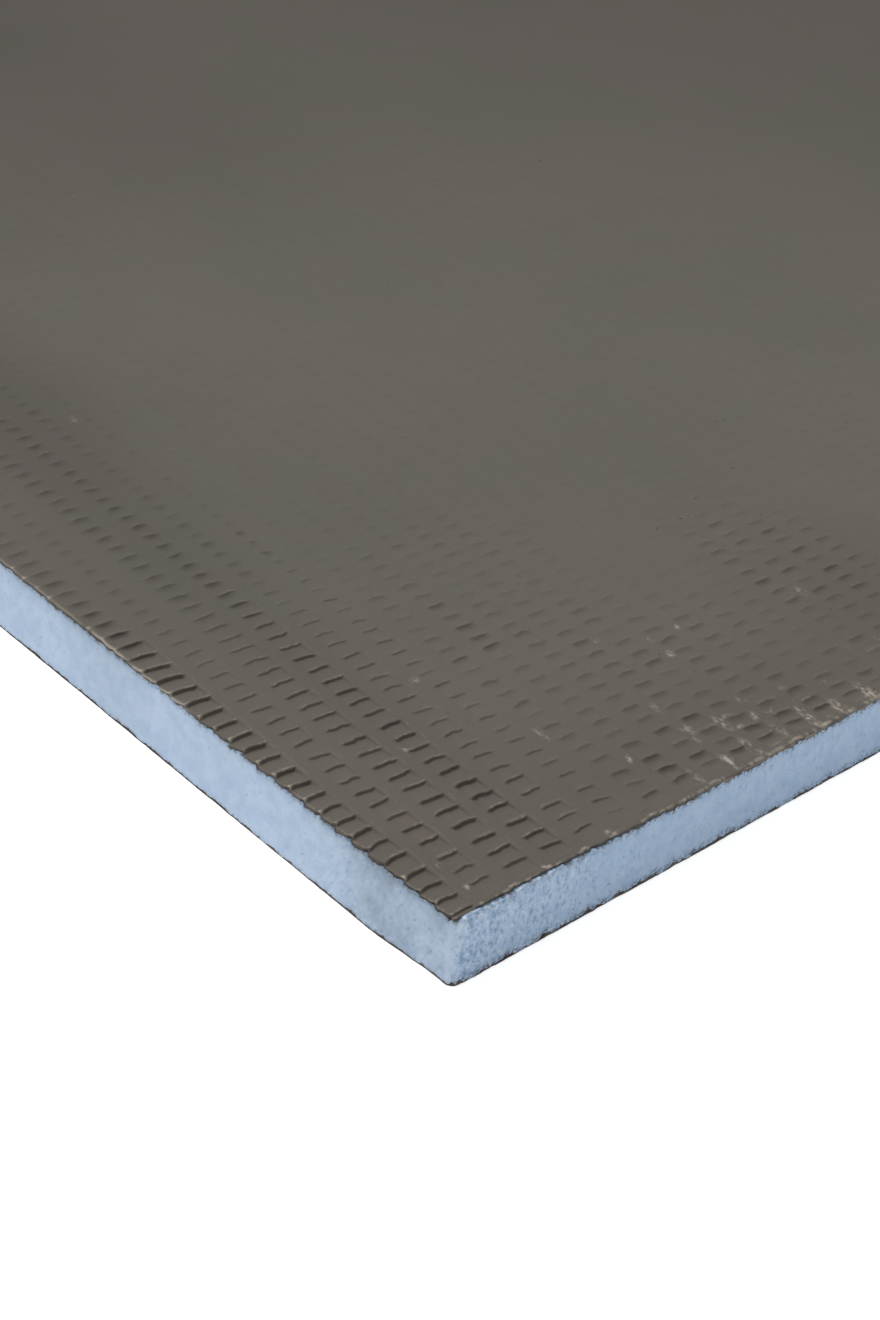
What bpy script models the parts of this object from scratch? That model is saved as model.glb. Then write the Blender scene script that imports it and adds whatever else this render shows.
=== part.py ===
"""Tile backer board: an extruded polystyrene core with a cement coat on each broad face.

The board lies flat on its back coat. Its origin is the middle of that underside, +X runs along the
length, +Y across the width and +Z up through the thickness, in metres.

It is a bonded sandwich of three pieces: foam_core, the light blue foam panel sawn to size, and
top_coating and bottom_coating, thin cement plates with glass mesh cast into them. The coats are trimmed
flush with the foam on all four sides, so the foam shows along every edge between two grey lines.
"""

import bmesh
import bpy

# Board, trimmed to size in one cut through foam and coats
BOARD_LENGTH = 1.2
BOARD_WIDTH = 0.6

# Layers, from the underside up
BOTTOM_COAT_THICKNESS = 0.0007
CORE_THICKNESS = 0.008
TOP_COAT_THICKNESS = 0.0007
BOND_GAP = 0.0003

# Upright corners, which wear round in the foam sooner than in the hard coat
CORE_CORNER_RADIUS = 0.0012
COAT_CORNER_RADIUS = 0.0005
CORNER_STEPS = 8

# Small round on the rim of each coat's outer face
COAT_RIM_RADIUS = 0.0002
RIM_STEPS = 2

# Colours are linear, roughness is from 0, glossy, to 1, matt
FOAM_COLOUR = (0.46, 0.57, 0.73)
FOAM_ROUGHNESS = 0.7
COAT_COLOUR = (0.15, 0.135, 0.12)
COAT_ROUGHNESS = 0.9

UP = 1
DOWN = -1


def clear_scene():
    """Remove every object that the scene starts with."""
    for old in list(bpy.data.objects):
        bpy.data.objects.remove(old, do_unlink=True)


def finish(name, colour, roughness):
    """Return a Principled material of one colour."""
    material = bpy.data.materials.new(name)
    material.use_nodes = True
    shader = material.node_tree.nodes["Principled BSDF"]
    shader.inputs["Base Color"].default_value = (*colour, 1.0)
    shader.inputs["Roughness"].default_value = roughness
    shader.inputs["Metallic"].default_value = 0.0
    return material


def outline_face(shape, length, width, corner_radius, height):
    """Draw the board's plan, a rectangle with round corners, as one flat face at a height."""
    half_length = length / 2
    half_width = width / 2
    corners = [
        (-half_length, -half_width, height),
        (half_length, -half_width, height),
        (half_length, half_width, height),
        (-half_length, half_width, height),
    ]
    shape.faces.new([shape.verts.new(corner) for corner in corners])
    bmesh.ops.bevel(
        shape,
        geom=shape.verts[:],
        offset=corner_radius,
        segments=CORNER_STEPS,
        profile=0.5,
        affect="VERTICES",
    )


def extrude_up(shape, thickness):
    """Raise the plan face into a closed panel."""
    raised = bmesh.ops.extrude_face_region(shape, geom=shape.faces[:])
    corners = [item for item in raised["geom"] if isinstance(item, bmesh.types.BMVert)]
    bmesh.ops.translate(shape, verts=corners, vec=(0.0, 0.0, thickness))
    bmesh.ops.recalc_face_normals(shape, faces=shape.faces[:])


def round_rim(shape, side, radius):
    """Round the edge all around the panel's upper or lower face."""
    outer = max(shape.faces, key=lambda face: side * face.calc_center_median().z)
    bmesh.ops.bevel(
        shape,
        geom=list(outer.edges),
        offset=radius,
        segments=RIM_STEPS,
        profile=0.5,
        affect="EDGES",
    )


def panel(name, shape, material):
    """Put the finished shape into the scene as one named object, smooth across its small rounds."""
    mesh = bpy.data.meshes.new(name)
    shape.to_mesh(mesh)
    shape.free()
    mesh.shade_smooth()
    mesh.set_sharp_from_angle(angle=0.6)
    mesh.materials.append(material)
    piece = bpy.data.objects.new(name, mesh)
    bpy.context.scene.collection.objects.link(piece)
    return piece


def core_panel(name, underside, material):
    """Make the foam, sawn square on its faces, with its four upright corners worn round."""
    shape = bmesh.new()
    outline_face(shape, BOARD_LENGTH, BOARD_WIDTH, CORE_CORNER_RADIUS, underside)
    extrude_up(shape, CORE_THICKNESS)
    return panel(name, shape, material)


def coat_panel(name, underside, thickness, outer_side, material):
    """Make one cement coat, rounded on the rim of the face that looks away from the foam."""
    shape = bmesh.new()
    outline_face(shape, BOARD_LENGTH, BOARD_WIDTH, COAT_CORNER_RADIUS, underside)
    extrude_up(shape, thickness)
    round_rim(shape, outer_side, COAT_RIM_RADIUS)
    return panel(name, shape, material)


def main():
    clear_scene()
    foam = finish("extruded_polystyrene", FOAM_COLOUR, FOAM_ROUGHNESS)
    cement = finish("cement_coat", COAT_COLOUR, COAT_ROUGHNESS)

    core_underside = BOTTOM_COAT_THICKNESS + BOND_GAP
    top_coat_underside = core_underside + CORE_THICKNESS + BOND_GAP

    coat_panel("bottom_coating", 0.0, BOTTOM_COAT_THICKNESS, DOWN, cement)
    core_panel("foam_core", core_underside, foam)
    coat_panel("top_coating", top_coat_underside, TOP_COAT_THICKNESS, UP, cement)


main()
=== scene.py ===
# %% [markdown]
# # A tile backer board, seen at one corner
#
# The object is a sheet of light blue extruded polystyrene with a thin cement coat on each broad face.
# Woven glass mesh is pressed into the wet cement, and it leaves a grid of shallow pockets. Nearly all of
# the look is in that relief, in the ragged rim of the coat and in the sawn foam, so this lesson builds
# those three as worked-out surfaces and leaves the rest plain.

# %% Load the frame
import math

import bpy
import numpy as np
from mathutils import Matrix, Vector


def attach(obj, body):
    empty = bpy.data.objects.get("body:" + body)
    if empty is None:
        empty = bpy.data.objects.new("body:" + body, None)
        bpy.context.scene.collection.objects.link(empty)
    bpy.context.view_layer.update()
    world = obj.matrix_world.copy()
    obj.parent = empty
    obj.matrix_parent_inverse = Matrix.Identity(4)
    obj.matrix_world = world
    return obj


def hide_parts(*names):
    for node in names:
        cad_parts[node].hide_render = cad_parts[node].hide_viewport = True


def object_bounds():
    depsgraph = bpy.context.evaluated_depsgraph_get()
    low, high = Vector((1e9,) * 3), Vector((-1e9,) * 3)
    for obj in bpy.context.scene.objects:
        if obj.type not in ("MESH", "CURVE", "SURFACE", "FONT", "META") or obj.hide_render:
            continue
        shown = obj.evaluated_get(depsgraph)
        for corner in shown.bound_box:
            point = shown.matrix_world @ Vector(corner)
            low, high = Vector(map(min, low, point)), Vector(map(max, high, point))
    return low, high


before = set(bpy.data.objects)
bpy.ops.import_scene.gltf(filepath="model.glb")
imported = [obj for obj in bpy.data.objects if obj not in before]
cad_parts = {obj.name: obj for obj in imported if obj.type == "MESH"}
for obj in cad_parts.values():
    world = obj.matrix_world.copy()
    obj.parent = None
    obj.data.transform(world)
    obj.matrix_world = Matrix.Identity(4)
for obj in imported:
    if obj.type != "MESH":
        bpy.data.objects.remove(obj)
cad_low, cad_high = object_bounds()
MM = 0.001
BODY = "root"
LENGTH, WIDTH, THICKNESS = ((cad_high - cad_low) / MM)[:]
print(f"board {LENGTH:.0f} x {WIDTH:.0f} x {THICKNESS:.0f} mm")

# %% [markdown]
# ## Measuring from the near corner
#
# Everything in view is near one corner, so places are given in millimetres from it: `across` counts in
# from the long edge, `along` counts in from the short end, and `height` counts up from the floor. One
# function turns these three arrays into points in the frame's own metres.


# %% Places from the near corner
def points(across, along, height):
    """x = far end less along, y = near side plus across, z = height, all taken from mm to m."""
    across, along, height = np.broadcast_arrays(across, along, height)
    place = np.stack([cad_high.x / MM - along, cad_low.y / MM + across, cad_low.z / MM + height], -1)
    return place * MM


# %% [markdown]
# ## The camera
#
# It stands just outside the near corner and looks down across the board. Its place is given from that
# corner, its aim as a heading and a tilt, and it leans a little, as a camera in the hand does.

# %% Camera
CAMERA_OFF_END = 124.6
CAMERA_OFF_SIDE = 142.3
CAMERA_ABOVE = 160.9
CAMERA_HEADING = 42.83
CAMERA_DOWN = 34.2
CAMERA_LEAN = 7.66
CAMERA_LENS = 64.6
SENSOR = 36.0


def aim(heading, down, lean):
    """Rotation of a camera that looks along +Y turned by heading towards -X, tilted down and leant."""
    turn, tilt = math.radians(heading), math.radians(down)
    ahead = Vector((-math.sin(turn) * math.cos(tilt), math.cos(turn) * math.cos(tilt), -math.sin(tilt)))
    upright = ahead.to_track_quat("-Z", "Y").to_matrix()
    return (upright @ Matrix.Rotation(math.radians(lean), 3, "Z")).to_4x4()


camera_data = bpy.data.cameras.new("camera")
camera_data.lens = CAMERA_LENS
camera_data.sensor_width = SENSOR
camera_data.clip_start = 0.01
camera = bpy.data.objects.new("camera", camera_data)
bpy.context.scene.collection.objects.link(camera)
stand = Vector(points(-CAMERA_OFF_SIDE, -CAMERA_OFF_END, THICKNESS + CAMERA_ABOVE).tolist())
camera.matrix_world = Matrix.Translation(stand) @ aim(CAMERA_HEADING, CAMERA_DOWN, CAMERA_LEAN)
bpy.context.scene.camera = camera
print("camera at", [round(value, 4) for value in camera.matrix_world.translation])

# %% [markdown]
# ## Tools for materials
#
# Painters write colours as hex, and the renderer wants linear light, so one function turns them. Another
# adds a shader node with its settings and links in one call. Both finishes are then built as a painter
# would: clouds of noise serve as masks, and thin layers of paint go on through them one by one.


# %% Node and colour helpers
def linear(hex_colour):
    """sRGB hex to linear RGBA: each channel is c / 12.92 when dark, else ((c + 0.055) / 1.055) ** 2.4."""
    channels = [int(hex_colour[i:i + 2], 16) / 255 for i in (1, 3, 5)]
    light = [c / 12.92 if c <= 0.04045 else ((c + 0.055) / 1.055) ** 2.4 for c in channels]
    return (*light, 1.0)


def feed(tree, socket, value):
    """Join an input to another node's output, or set it to a plain value. None leaves it as it is."""
    if isinstance(value, bpy.types.NodeSocket):
        tree.links.new(value, socket)
    elif value is not None:
        socket.default_value = value


def add(tree, kind, *values, out=None, **settings):
    """Add a node with its settings, feed the values to its inputs in order, and return one output."""
    node = tree.nodes.new("ShaderNode" + kind)
    for name, value in settings.items():
        setattr(node, name, value)
    for socket, value in zip([one for one in node.inputs if one.enabled], values):
        feed(tree, socket, value)
    return next(one for one in node.outputs if one.enabled and out in (None, one.name))


def blank(name):
    """A new material with only its output and a Principled shader joined to it."""
    material = bpy.data.materials.new(name)
    material.use_nodes = True
    return material, material.node_tree


def surface(tree, colour, **values):
    """Give the Principled shader its colour and its other inputs, an underscore for each space."""
    for name, value in {"Base_Color": colour, **values}.items():
        feed(tree, tree.nodes["Principled BSDF"].inputs[name.replace("_", " ")], value)


def blotches(tree, place, size, detail, rough, low, high, to_low=0.0, to_high=1.0):
    """Cloudy noise with patches about size mm across, eased from to_low at low to to_high at high."""
    cloud = add(tree, "TexNoise", place, 1 / (size * MM), detail, rough)
    return add(tree, "MapRange", cloud, low, high, to_low, to_high, interpolation_type="SMOOTHSTEP")


def overlap(tree, first, *masks):
    """Where all masks are strong: their product."""
    for mask in masks:
        first = add(tree, "Math", first, mask, operation="MULTIPLY")
    return first


def paint(tree, colour, *layers):
    """Lay paints over a colour in turn. A layer is its hex colour and the masks that it goes through."""
    for hex_colour, *masks in layers:
        colour = add(tree, "Mix", overlap(tree, *masks), colour, linear(hex_colour), data_type="RGBA")
    return colour


print("mid grey as linear light:", round(linear("#808080")[0], 3))

# %% [markdown]
# ## Random but repeatable
#
# Real cement and yarn wander. Value noise gives that: random heights on a lattice, joined by smooth
# blends. The lattice comes from a seed, so each run gives the same board.


# %% Smooth noise
LATTICE = 509


def ease(value, low=0.0, high=1.0):
    """Smoothstep: 0 below low, 1 above high, 3x^2 - 2x^3 between."""
    x = np.clip((value - low) / (high - low), 0, 1)
    return x * x * (3 - 2 * x)


def fade(value, low, high):
    """Smoothstep the other way: 1 below low and 0 above high."""
    return 1 - ease(value, low, high)


def wander(first, second, size, seed):
    """Value noise between -1 and 1: lattice cells are size mm, corners random, blended by smoothstep."""
    lattice = np.random.default_rng(seed).uniform(-1, 1, (LATTICE, LATTICE))
    a, b = np.broadcast_arrays(np.asarray(first) / size, np.asarray(second) / size)
    i, j = np.floor(a).astype(int), np.floor(b).astype(int)
    p, q = ease(a - i), ease(b - j)
    i, j, next_i, next_j = [number % LATTICE for number in (i, j, i + 1, j + 1)]
    near = lattice[i, j] * (1 - q) + lattice[i, next_j] * q
    far = lattice[next_i, j] * (1 - q) + lattice[next_i, next_j] * q
    return near * (1 - p) + far * p


def rough(first, second, size, seed, octaves=3):
    """Value noise in octaves: each next one is half the size and half the height."""
    layers = [wander(first, second, size / 2**n, seed + n) / 2**n for n in range(octaves)]
    return sum(layers) / sum(1 / 2**n for n in range(octaves))


print(f"noise at the corner: {wander(0.0, 0.0, 1.0, 0):.2f}")

# %% [markdown]
# ## The mesh as a pair of scales
#
# Warp bands run along the board and weft ribs across it. Between them the cement sinks into pockets.
# `column` counts pockets across and `row` counts them along; a whole number is where a pocket starts.
# The first few were pulled out of step when the mesh was laid, so their places are listed one by one.

# %% Mesh scales
WARP_PITCH = 5.2
WEFT_PITCH = 2.65
# Where the warp band starts in a column, and where the rib's crest lies in a row, as shares of the pitch
BAND_FROM = 0.65
RIB_CREST = 0.74
FIRST_COLUMN = -0.2
FIRST_ROW = -0.68
PULLED_COLUMNS = [0.0, 0.0, -0.2, 0.1, 0.15, 0.7, 0.6, 0.65, 0.7, 0.25, -0.2, -0.15]
POCKET_WIDTHS = [3.6, 3.25, 3.9, 3.5, 3.2, 2.8, 3.1, 3.3, 3.2, 3.3, 3.4, 3.4]
PULLED_ROWS = [-0.3, -0.05, -0.3, -0.48, 0.02, 0.07, 0.07, 0.12, -0.08, -0.13, -0.08, -0.08, 0.12, 0.17,
               -0.13]

columns = math.ceil((WIDTH - FIRST_COLUMN) / WARP_PITCH)
rows = math.ceil((LENGTH - FIRST_ROW) / WEFT_PITCH)
print(f"{columns} pockets across, {rows} along")


def scale_knots(count, pitch, first, pulled, widths, share):
    """Knots of a scale: pocket n starts at first + n pitch + pull, and its floor ends a width later."""
    start = first + pitch * np.arange(count + 1)
    start[:len(pulled)] += pulled
    width = np.full(count + 1, share * pitch)
    width[:len(widths)] = widths
    number = np.arange(count + 1)
    return np.stack([number, number + share], 1).ravel(), np.stack([start, start + width], 1).ravel()


COLUMN_KNOTS = scale_knots(columns, WARP_PITCH, FIRST_COLUMN, PULLED_COLUMNS, POCKET_WIDTHS, BAND_FROM)
ROW_KNOTS = scale_knots(rows, WEFT_PITCH, FIRST_ROW, PULLED_ROWS, [], RIB_CREST)

# %% [markdown]
# ## How deep the mesh shows
#
# Near the trimmed edges the skin of cement over the mesh is thin and the pockets are deep. Inside the
# board the skin is thicker and they almost fill up. The depth is one function of place, which both the
# modelled relief and the shader's finer relief use. Its distances are read off the photo in mm.

# %% Pocket depth
POCKET_DEPTH = 0.32
FAINT = 0.055
# Thin patches of skin as ovals: middle across and along, reach across and along, and share
THIN_PATCHES = [
    (40.0, 12.0, 48.0, 31.0, 0.3), (86.0, 27.0, 13.0, 19.0, 0.38), (29.0, 55.0, 4.0, 30.0, 0.22),
    (36.0, 42.0, 9.0, 12.0, 0.22), (46.0, 48.0, 20.0, 24.0, 0.09),
]
# How strongly the first eight pockets show: by the corner, half-way and far along
COLUMN_STRENGTH = [
    [1.1, 0.74, 0.92, 1.0, 0.66, 0.8, 0.5, 0.4],
    [0.8, 0.33, 0.4, 0.7, 0.3, 0.65, 0.4, 0.2],
    [0.4, 0.26, 0.45, 0.56, 0.36, 0.36, 0.2, 0.15],
]
FRAY_FROM, FRAY_TO = 34.0, 50.0
FRAY_DEPTH = 11.0


def spots(across, along, ovals, low, high):
    """For each oval, its share up to low of its reach, easing to 0 at high."""
    return [share * fade(np.hypot((across - mid_a) / reach_a, (along - mid_b) / reach_b), low, high)
            for mid_a, mid_b, reach_a, reach_b, share in ovals]


def torn_zone(across, along):
    """1 by the short end away from the corner, where the saw tore the skin off the yarn."""
    patchy = ease(wander(across, along, 4.0, 60), -0.55, 0.35)
    return ease(across, FRAY_FROM, FRAY_TO) * fade(along, 0.45 * FRAY_DEPTH, FRAY_DEPTH) * patchy


def by_column(column, along):
    """How strongly each pocket shows: the three lists, blended one after the other."""
    near, middle, far = [np.interp(np.floor(column), np.arange(8), shares) for shares in COLUMN_STRENGTH]
    return near + (middle - near) * ease(along, 40, 54) + (far - middle) * ease(along, 58, 72)


def strength(column, across, along):
    """Share of the full pocket depth: strong in a band along each edge, faint inside."""
    from_side = np.minimum(across, WIDTH - across)
    from_end = np.minimum(along, LENGTH - along)
    side = np.where(across < WIDTH / 2, by_column(column, along), 0.85)
    side = side * fade(from_side, 16, 40) * (1 - 0.2 * ease(from_end, 50, 100))
    cut_open = 1.1 + 0.45 * ease(from_end, 24, 36) - 1.15 * ease(from_end, 52, 72)
    cut_open = cut_open * fade(column, 0.8, 1.0)
    end = 0.6 * fade(from_end, 9, 18) * (0.5 + 0.5 * ease(across, 28, 40))
    end = end * (1 - 0.35 * ease(across, 55, 75))
    inside = sum(spots(across, along, THIN_PATCHES, 0.45, 1.0), FAINT)
    patchy = 1 + 0.3 * wander(across, along, 14.0, 11)
    rim_yarn = fade(along, 1.0, 1.4) * ease(column, 0.7, 1.0)
    near_wall = fade(across, 0.4, 2.0) * ease(along, 50, 66)
    return np.maximum.reduce([side, cut_open, end, inside]) * patchy * (1 - rim_yarn) * (1 - near_wall)


def modelled(across, along):
    """Share of the relief that is real geometry: all of it near the corner, none far away."""
    return fade(across, 150, 184) * fade(along, 165, 203)


print(f"pockets by the corner sink {POCKET_DEPTH * strength(1.0, 5.0, 5.0):.2f} mm")

# %% [markdown]
# ## The coat as one surface
#
# Bump could stand in for the pockets, but they catch the light and notch the rim, so by the corner in
# view they are real shape. The top is a function of `row` and `column`. Its grid lines follow the
# yarns, close together on the steep walls and wide apart on the flat bands, so few faces give crisp
# pockets. Each pocket is a product of two profiles. Along the board they overlap like roof tiles: a
# steep wall up to a narrow crest, then a quick drop and a floor that sinks on to the next wall. Across,
# only the far side is steep. Further along, more cement has rounded the walls.


# %% Pocket profiles
# Widths of a pocket's walls as shares of the pitch
WALL_ACROSS = 0.055
WALL_ALONG = 0.12


def roundness(along):
    """0 near the corner to 1 further along, where the pockets have filled up to shallow round hollows."""
    return ease(along, 50, 72)


def softness(across, along):
    """0 by the near corner, where the pockets are crisp, to 1 where more cement rounds their walls."""
    return np.maximum(roundness(along), ease(across, 26, 38))


def warp_share(column, rounded=0.0):
    """Pocket profile across: slopes down, flat, then a short wall. The first pocket is cut open."""
    part = column % 1
    slope = np.where(column < 1, 1.0, ease(part, 0.0, 0.16 + 0.16 * rounded))
    return slope * fade(part, BAND_FROM - WALL_ACROSS - 0.24 * rounded, BAND_FROM)


def weft_floor(row):
    """Depth of the floor along: 0 on the crest, a quick drop, then down to 1 at the foot of the wall."""
    part = (row - RIB_CREST) % 1
    return 0.4 * ease(part, 0.02, 0.2) + 0.6 * ease(part, 0.1, 0.9)


def weft_share(row, soft=0.0):
    """Pocket profile along: the floor, closed by the steep wall, which is gentler where it is soft."""
    part = (row - RIB_CREST) % 1
    return weft_floor(row) * fade(part, 1 - WALL_ALONG - 0.2 * soft, 0.99)


# %% [markdown]
# ## Yarns that wander
#
# No yarn lies straight. Each rib arches a little in every pocket, hooks where it reaches the long edge,
# and drifts with its neighbours. These shifts move the even grid, as far as the relief is modelled.

# %% Coat surface
BULGE = 0.1
HOOK = 0.16
CREST_DROP = 0.02


def lean_in(across, along):
    """How far the warp bands have drifted in from the cut edge, in mm: more and more along the board."""
    drift = 0.025 * np.clip(along - 28, 0, 90)
    return drift + 0.7 * ease(along, 30, 70) * ease(across, 9, 12) * fade(across, 26, 29)


def rim_hook(along):
    """How far the ribs bend towards the corner where they reach the long edge, in mm: further on, away."""
    return HOOK * fade(along, 14, 26) - 2 * HOOK * ease(along, 42, 52)


def cell_depth(row, column, across):
    """Each pocket's own depth about 1: nearly alike by the long edge, uneven further in."""
    own = wander(np.floor(column) * 5.7, np.floor(row - RIB_CREST) * 3.9, 1.0, 31)
    return 1 + (0.22 + 0.45 * ease(across, 18, 30)) * own


def coat_plan(row, column):
    """Where each grid crossing lies: the two scales, less their pulls far away, plus a little wander."""
    across = np.interp(column, *COLUMN_KNOTS)
    along = np.interp(row, *ROW_KNOTS)
    even = FIRST_COLUMN + WARP_PITCH * column
    near = modelled(across, along)
    across = even + (across - even) * near
    free = near * ease(across, 0.3, 2.5)
    number, cell = np.floor(row), np.floor(column)
    inside = np.clip((column - cell) / BAND_FROM, 0, 1)
    tilt = (0.22 * wander(cell * 7.3, number * 3.1, 1.0, 21) - 0.12) * (inside - 0.5)
    arch = BULGE * (4 * inside * (1 - inside) - 0.6) * (1 + 0.5 * wander(cell * 3.3, number * 5.9, 1.0, 24))
    torn = 0.24 * rough(across, number * 10, 0.9, 26)
    skew = -0.02 * np.clip(across - 12, 0, 76) * ease(along, 0.3, 6)
    off_rim = ease(along, 0.1, 1.2)
    hook = rim_hook(along) * fade(across, 0.2, 1.4 + 2.4 * ease(along, 42, 52)) * near * off_rim
    shove = 0.16 * wander(across, number * 10, 9.0, 22) + tilt + arch + torn + skew
    along = along - hook + free * off_rim * shove
    bend = 0.16 * wander(along, cell * 10, 6.0, 23) + 0.06 * wander(along, cell * 10, 1.1, 25)
    across = across + free * (bend + lean_in(across, along))
    return across, along


def coat_height(row, column, across, along):
    """Top of the coat: the full thickness, less the pockets and a soft unevenness."""
    rounded, near = roundness(along), modelled(across, along)
    depth = POCKET_DEPTH * strength(column, across, along) * near * (1 - 0.35 * rounded)
    sink = warp_share(column, rounded) * weft_share(row, softness(across, along))
    sink = sink * cell_depth(row, column, across)
    uneven = 0.025 * (wander(across, along, 3.0, 32) - 1) + 0.012 * (wander(across, along, 0.8, 33) - 1)
    return THICKNESS - CREST_DROP - depth * sink + uneven * near


# %% [markdown]
# ## Lines of the grid
#
# Three zones share one recipe: fine lines near the corner, medium ones as far as the camera sees, and a
# coarse net over the rest of the board, where the shader draws the pockets.

# %% Grid lines
FINE_COLUMNS, MEDIUM_COLUMNS = 14, 35
FINE_ROWS, MEDIUM_ROWS = 24, 76
COLUMN_FINE = [0, 0.06, 0.12, 0.18, 0.25, 0.32, 0.39, 0.46, 0.53, 0.59, 0.62, 0.65, 0.71, 0.77, 0.84, 0.92]
COLUMN_MEDIUM = [0, 0.08, 0.16, 0.4, 0.595, 0.65, 0.8]
ROW_FINE = [0, 0.12, 0.25, 0.38, 0.5, 0.58, 0.62, 0.642, 0.664, 0.686, 0.708, 0.73, 0.76, 0.8, 0.86, 0.93]
ROW_MEDIUM = [0.02, 0.3, 0.62, 0.66, 0.7, 0.74, 0.8, 0.9]


def lines(fine_parts, medium_parts, fine_to, medium_to, last, step):
    """Line numbers of one scale: fine parts of each cell, then medium parts, then every step cells."""
    fine = (np.arange(fine_to)[:, None] + fine_parts).ravel()
    medium = (np.arange(fine_to, medium_to)[:, None] + medium_parts).ravel()
    coarse = np.append(np.arange(medium_to, last, step), last)
    return np.concatenate([fine, medium, coarse])


def number_at(place, knots):
    """The line number at a place in mm: the scale read backwards."""
    return np.interp(place, knots[1], knots[0])


first_column, last_column = number_at(0.0, COLUMN_KNOTS), (WIDTH - FIRST_COLUMN) / WARP_PITCH
first_row, last_row = number_at(0.0, ROW_KNOTS), number_at(LENGTH, ROW_KNOTS)
column_lines = lines(COLUMN_FINE, COLUMN_MEDIUM, FINE_COLUMNS, MEDIUM_COLUMNS, last_column, 2)
column_lines = np.append(first_column, column_lines[column_lines > first_column + 0.01])
row_lines = lines(ROW_FINE, ROW_MEDIUM, FINE_ROWS, MEDIUM_ROWS, last_row, 4)
row_lines = np.append(first_row, row_lines[row_lines > first_row + 0.01])
print(f"{len(column_lines)} lines across, {len(row_lines)} along")

# %% [markdown]
# ## The rim
#
# The coat was trimmed with the board, so its rim is a torn little cliff. It sits in from the frame's box
# by a wandering amount, with a notch at each rib, and has worn back by the corner. Its upper edge is
# rounded, and the foam below starts at a height that wanders too. That height is one function of the
# place along the edge, which the coat and the foam both call, so that they meet without a gap.

# %% Rim
CORNER_RADIUS = 0.5
RIM_ROUND = 0.08
COAT_BASE = THICKNESS - 0.7


def ragged(run, seed):
    """How far the trimmed edge sits in from the true line, in mm, along a run of the edge."""
    return np.maximum(0.11 + 0.06 * wander(run, 0, 1.3, seed) + 0.09 * rough(run, 7, 0.7, seed + 1), 0.06)


def round_corner(across, along, radius):
    """Bend a square corner round: within radius of it, scale each point from square to circle."""
    a = np.maximum(radius - across, 0)
    b = np.maximum(radius - along, 0)
    reach = np.maximum(np.hypot(a, b), 1e-9)
    shrink = np.maximum(a, b) / reach
    return across + a - a * shrink, along + b - b * shrink


def from_crest(row):
    """Distance to the nearest rib's crest, in mm."""
    return np.abs((row - RIB_CREST + 0.5) % 1 - 0.5) * WEFT_PITCH


def rubbed_back(across):
    """How far the coat's rim has worn back from the short end, in mm: only by the near corner."""
    return 0.45 * fade(across, 10, 38)


def edge_inset(across, along):
    """Move the outermost mm in to the ragged line, on all four sides."""
    side = ragged(along, 41) + 0.16 * rib_notch(along) * fade(along, 38, 46) + RIM_ROUND
    end = ragged(across, 43) + RIM_ROUND
    worn_back = rubbed_back(across) * fade(along, 0, 2.5)
    across = across + side * (fade(across, 0, 1) - ease(across, WIDTH - 1, WIDTH))
    along = along + worn_back + end * (fade(along, 0, 1) - ease(along, LENGTH - 1, LENGTH))
    return across, along


def row_at(along):
    """The row number at a place on the rim, where the ribs hook."""
    return number_at(along + rim_hook(along), ROW_KNOTS)


def rib_notch(along):
    """1 where a rib's crest comes out at the long edge, 0 half a mm away: the trim tore a notch there."""
    return fade(from_crest(row_at(along)), 0.1, 0.5)


def core_top(run):
    """Height where foam meets the coat: below the coat's top by a ragged wall, with a tooth at each rib."""
    on_side, beyond = ease(-run, 0.0, 2.0), ease(-run, 7, 16)
    on_side = on_side * (0.35 + 0.65 * ease(-run, 5, 10)) * (1 - 0.7 * ease(-run, 40, 50))
    wall = 0.58 - 0.1 * ease(-run, 3, 6) * fade(-run, 9, 14) - 0.1 * beyond
    wall = wall - 0.24 * ease(run, 0, 2) * fade(run, 14, 38) + 0.04 * ease(run, 38, 48)
    wall = wall + (0.2 - 0.1 * beyond) * wander(run, 0, 1.9, 51)
    wall = wall + (0.34 - 0.08 * beyond - 0.08 * ease(run, 24, 34)) * rough(run, 0, 0.6, 52)
    tooth = POCKET_DEPTH * weft_share(row_at(-run)) * on_side
    return THICKNESS - CREST_DROP - tooth - np.clip(wall, 0.1, 1.0)


def cut_shade(run):
    """How much painted shade the cut side of the coat gets: most by the corner and along the short end,
    less beyond.
    """
    shade = 0.8 - 0.44 * ease(-run, 8, 20) - 0.3 * ease(run, 0, 3) - 0.4 * ease(run, 20, 38)
    return np.clip(shade + 0.22 * wander(run, 0, 2.3, 53) + 0.25 * rough(run, 0, 0.6, 54), 0, 1)


print(f"the coat's wall at the corner is {THICKNESS - core_top(0.0):.2f} mm high")

# %% [markdown]
# ## Closed pieces from rings
#
# Each piece is a surface carried down or round in rings and then closed by a fan of triangles. Four
# helpers pick vertex numbers for its faces, and one makes the piece and says what it stands for.


# %% Mesh helpers
def grid_faces(number):
    """Four corners of each cell of a grid of numbers, anticlockwise seen from the side it faces."""
    corners = [number[:-1, :-1], number[:-1, 1:], number[1:, 1:], number[1:, :-1]]
    return np.stack(corners, -1).reshape(-1, 4)


def border(number):
    """The numbers once round a grid, with the outside on the right."""
    return np.concatenate([number[0, :-1], number[:-1, -1], number[-1, :0:-1], number[:0:-1, 0]])


def ring_faces(upper, lower):
    """Cells between two rings of vertex numbers, facing right of the direction round."""
    return np.stack([upper, lower, np.roll(lower, -1), np.roll(upper, -1)], -1)


def fan_faces(ring, centre):
    """Triangles from a ring to one centre vertex."""
    return np.stack([ring, np.full(len(ring), centre), np.roll(ring, -1)], -1)


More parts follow.
